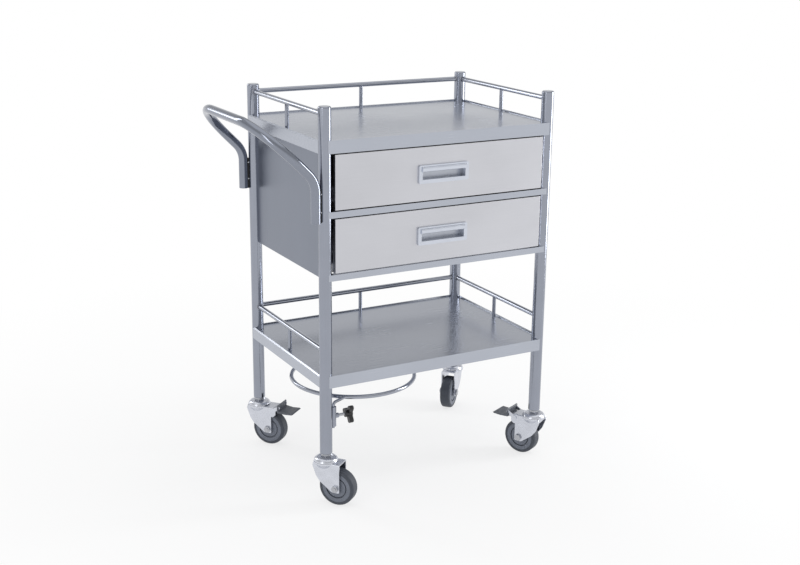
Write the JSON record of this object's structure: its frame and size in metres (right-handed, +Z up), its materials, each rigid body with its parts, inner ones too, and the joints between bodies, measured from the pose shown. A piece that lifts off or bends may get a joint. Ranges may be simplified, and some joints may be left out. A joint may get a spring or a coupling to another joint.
{
  "type": "medical trolley",
  "caption": "Stainless steel ward trolley with two tray shelves and guard rails, a two-drawer cabinet, side push handle, swing-out bucket ring and swivel casters.",
  "frame": {"origin": "on the floor, in the middle between the four posts", "axes": "+X along the drawer fronts, away from the push handle; +Y from the drawers to the back; +Z up"},
  "size_m": [0.665, 0.4238, 0.795],
  "materials": {
    "steel": "satin brushed stainless steel",
    "tube_steel": "polished stainless tube",
    "handle_steel": "bright polished tube",
    "zinc": "zinc-plated pressed steel",
    "bolt_steel": "plated fastener",
    "tyre": "dark grey rubber",
    "wheel_plastic": "grey moulded wheel",
    "pull_plastic": "light grey moulded pull",
    "black_plastic": "black moulded knob",
    "pad_rubber": "black rubber strip",
    "pedal_plastic": "grey brake pedal",
    "sleeve_steel": "plain steel"
  },
  "bodies": {
    "frame": {"post_front_left": "tube_steel", "post_front_right": "tube_steel", "post_back_left": "tube_steel", "post_back_right": "tube_steel", "post_caps": "tube_steel", "stem_sleeves": "sleeve_steel", "caster_stems": "bolt_steel", "race_caps": "zinc", "top_shelf": "steel", "lower_shelf": "steel", "top_back_rail": "tube_steel", "top_left_rail": "tube_steel", "top_right_rail": "tube_steel", "top_rail_supports": "tube_steel", "lower_back_rail": "tube_steel", "lower_left_rail": "tube_steel", "lower_right_rail": "tube_steel", "lower_rail_supports": "tube_steel", "left_panel": "steel", "right_panel": "steel", "back_panel": "steel", "middle_front_rail": "steel", "bottom_front_rail": "steel", "cabinet_runners": "steel", "push_handle": "handle_steel", "handle_pads": "pad_rubber", "ring_socket": "tube_steel"},
    "upper_drawer": {"upper_drawer_box": "steel", "upper_drawer_front": "steel", "upper_drawer_pull": "pull_plastic", "upper_drawer_runners": "steel"},
    "lower_drawer": {"lower_drawer_box": "steel", "lower_drawer_front": "steel", "lower_drawer_pull": "pull_plastic", "lower_drawer_runners": "steel"},
    "bucket_ring": {"bucket_ring": "tube_steel"},
    "clamp_knob": {"clamp_screw": "bolt_steel", "clamp_knob": "black_plastic"},
    "front_left_swivel": {"front_left_fork": "zinc", "front_left_axle": "bolt_steel"},
    "front_left_wheel": {"front_left_wheel_hub": "wheel_plastic", "front_left_tyre": "tyre"},
    "back_left_swivel": {"back_left_fork": "zinc", "back_left_axle": "bolt_steel", "back_left_brake_pin": "bolt_steel"},
    "back_left_wheel": {"back_left_wheel_hub": "wheel_plastic", "back_left_tyre": "tyre"},
    "back_left_brake": {"back_left_brake_pedal": "pedal_plastic"},
    "front_right_swivel": {"front_right_fork": "zinc", "front_right_axle": "bolt_steel", "front_right_brake_pin": "bolt_steel"},
    "front_right_wheel": {"front_right_wheel_hub": "wheel_plastic", "front_right_tyre": "tyre"},
    "front_right_brake": {"front_right_brake_pedal": "pedal_plastic"},
    "back_right_swivel": {"back_right_fork": "zinc", "back_right_axle": "bolt_steel"},
    "back_right_wheel": {"back_right_wheel_hub": "wheel_plastic", "back_right_tyre": "tyre"}
  },
  "joints": [
    {"name": "upper_drawer_slide", "type": "slide", "parent": "frame", "child": "upper_drawer", "axis": [0, -1, 0], "range_m": [0, 0.25]},
    {"name": "lower_drawer_slide", "type": "slide", "parent": "frame", "child": "lower_drawer", "axis": [0, -1, 0], "range_m": [0, 0.25]},
    {"name": "bucket_ring_swing", "type": "hinge", "parent": "frame", "child": "bucket_ring", "pos_m": [-0.23195, -0.1655, 0.19], "axis": [0, 0, 1], "range_deg": [-95, 25]},
    {"name": "clamp_knob_turn", "type": "hinge", "parent": "frame", "child": "clamp_knob", "pos_m": [-0.21195, -0.1655, 0.178], "axis": [1, 0, 0], "range_deg": [0, 360]},
    {"name": "front_left_swivel_turn", "type": "hinge", "parent": "frame", "child": "front_left_swivel", "pos_m": [-0.25, -0.17, 0.0896], "axis": [0, 0, 1], "continuous": true},
    {"name": "front_left_wheel_spin", "type": "hinge", "parent": "front_left_swivel", "child": "front_left_wheel", "pos_m": [-0.23301, -0.19098, 0.0375], "axis": [0.7771, 0.6293, 0], "continuous": true},
    {"name": "back_left_swivel_turn", "type": "hinge", "parent": "frame", "child": "back_left_swivel", "pos_m": [-0.25, 0.17, 0.0896], "axis": [0, 0, 1], "continuous": true},
    {"name": "back_left_wheel_spin", "type": "hinge", "parent": "back_left_swivel", "child": "back_left_wheel", "pos_m": [-0.23264, 0.14932, 0.0375], "axis": [0.766, 0.6428, 0], "continuous": true},
    {"name": "back_left_brake_press", "type": "hinge", "parent": "back_left_swivel", "child": "back_left_brake", "pos_m": [-0.22622, 0.14166, 0.081], "axis": [0.766, 0.6428, 0], "range_deg": [0, 22]},
    {"name": "front_right_swivel_turn", "type": "hinge", "parent": "frame", "child": "front_right_swivel", "pos_m": [0.25, -0.17, 0.0896], "axis": [0, 0, 1], "continuous": true},
    {"name": "front_right_wheel_spin", "type": "hinge", "parent": "front_right_swivel", "child": "front_right_wheel", "pos_m": [0.23816, -0.14573, 0.0375], "axis": [-0.8988, -0.4384, 0], "continuous": true},
    {"name": "front_right_brake_press", "type": "hinge", "parent": "front_right_swivel", "child": "front_right_brake", "pos_m": [0.23378, -0.13675, 0.081], "axis": [-0.8988, -0.4384, 0], "range_deg": [0, 22]},
    {"name": "back_right_swivel_turn", "type": "hinge", "parent": "frame", "child": "back_right_swivel", "pos_m": [0.25, 0.17, 0.0896], "axis": [0, 0, 1], "continuous": true},
    {"name": "back_right_wheel_spin", "type": "hinge", "parent": "back_right_swivel", "child": "back_right_wheel", "pos_m": [0.22994, 0.15193, 0.0375], "axis": [0.6691, -0.7431, 0], "continuous": true}
  ]
}
